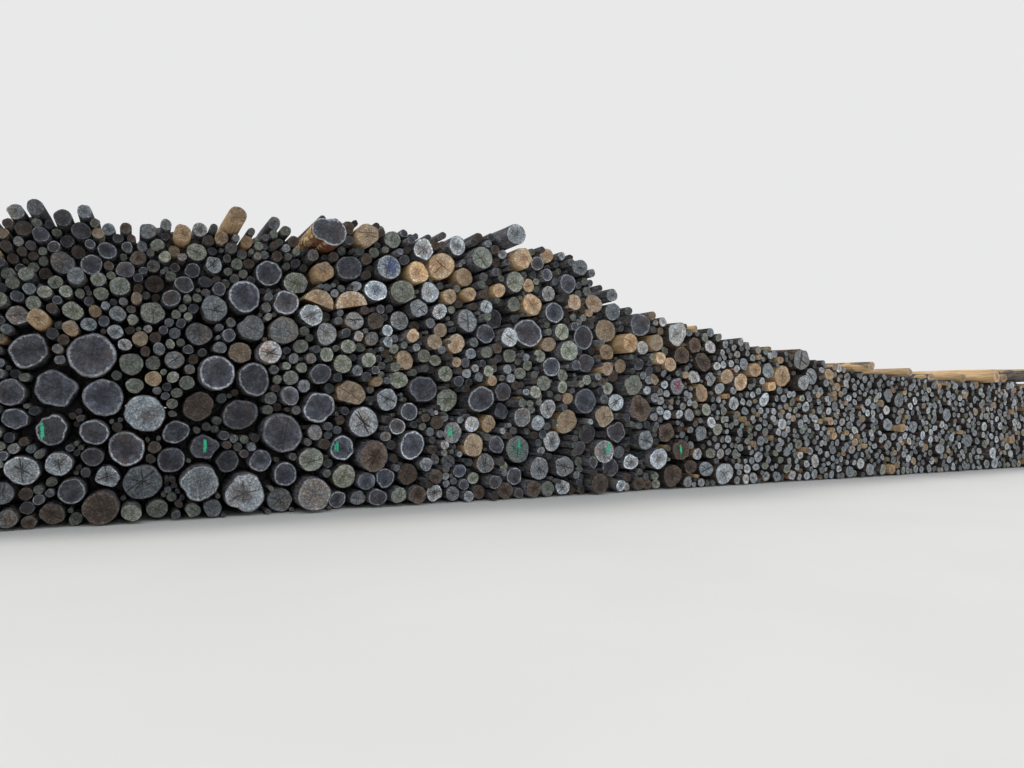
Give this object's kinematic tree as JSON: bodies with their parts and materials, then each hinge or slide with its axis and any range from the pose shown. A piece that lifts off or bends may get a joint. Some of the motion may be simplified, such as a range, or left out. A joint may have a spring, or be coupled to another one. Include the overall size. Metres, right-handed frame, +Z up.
{
  "type": "stack of logs",
  "caption": "Long free-standing stack of sawn logs, big weathered stems at one end and thin pale poles at the other, all lying side by side with their sawn ends in one uneven face.",
  "frame": {"origin": "on the ground, at the middle of the stack's length and of its depth", "axes": "+X along the stack from the big logs to the thin poles, -Y the way the sawn face looks, +Z up; the logs lie along Y"},
  "size_m": [26.1688, 4.9372, 4.3821],
  "materials": {
    "dark_end_wood": "weathered slate dark sawn ends with a pale rim, dark bark",
    "grey_end_wood": "grey weathered sawn ends with radial checks",
    "pale_end_wood": "pale grey sawn ends with cracks",
    "tan_end_wood": "tan sawn ends, freshly cut",
    "mossy_end_wood": "sawn ends green and yellow with moss and lichen",
    "brown_end_wood": "dull brown sawn ends"
  },
  "bodies": {
    "root": {"brown_logs_bay_1": "brown_end_wood", "brown_logs_bay_2": "brown_end_wood", "brown_logs_bay_3": "brown_end_wood", "brown_logs_bay_4": "brown_end_wood", "brown_logs_bay_5": "brown_end_wood", "brown_poles_bay_6": "brown_end_wood", "dark_logs_bay_1": "dark_end_wood", "dark_logs_bay_2": "dark_end_wood", "dark_logs_bay_3": "dark_end_wood", "dark_logs_bay_4": "dark_end_wood", "dark_logs_bay_5": "dark_end_wood", "forked_log": "dark_end_wood", "grey_logs_bay_1": "grey_end_wood", "grey_logs_bay_2": "grey_end_wood", "grey_logs_bay_3": "grey_end_wood", "grey_logs_bay_4": "grey_end_wood", "grey_logs_bay_5": "grey_end_wood", "mossy_logs_bay_1": "mossy_end_wood", "mossy_logs_bay_2": "mossy_end_wood", "mossy_logs_bay_3": "mossy_end_wood", "mossy_logs_bay_4": "mossy_end_wood", "mossy_logs_bay_5": "mossy_end_wood", "mossy_poles_bay_6": "mossy_end_wood", "mossy_poles_bay_7": "mossy_end_wood", "mossy_poles_bay_8": "mossy_end_wood", "mossy_poles_bay_9": "mossy_end_wood", "pale_logs_bay_1": "pale_end_wood", "pale_logs_bay_2": "pale_end_wood", "pale_logs_bay_3": "pale_end_wood", "pale_logs_bay_4": "pale_end_wood", "pale_logs_bay_5": "pale_end_wood", "pale_poles_bay_6": "pale_end_wood", "pale_poles_bay_7": "pale_end_wood", "pale_poles_bay_8": "pale_end_wood", "pale_poles_bay_9": "pale_end_wood", "split_logs": "tan_end_wood", "tan_logs_bay_1": "tan_end_wood", "tan_logs_bay_2": "tan_end_wood", "tan_logs_bay_3": "tan_end_wood", "tan_logs_bay_4": "tan_end_wood", "tan_logs_bay_5": "tan_end_wood", "tan_poles_bay_6": "tan_end_wood", "tan_poles_bay_7": "tan_end_wood", "tan_poles_bay_8": "tan_end_wood", "tan_poles_bay_9": "tan_end_wood"}
  },
  "joints": []
}
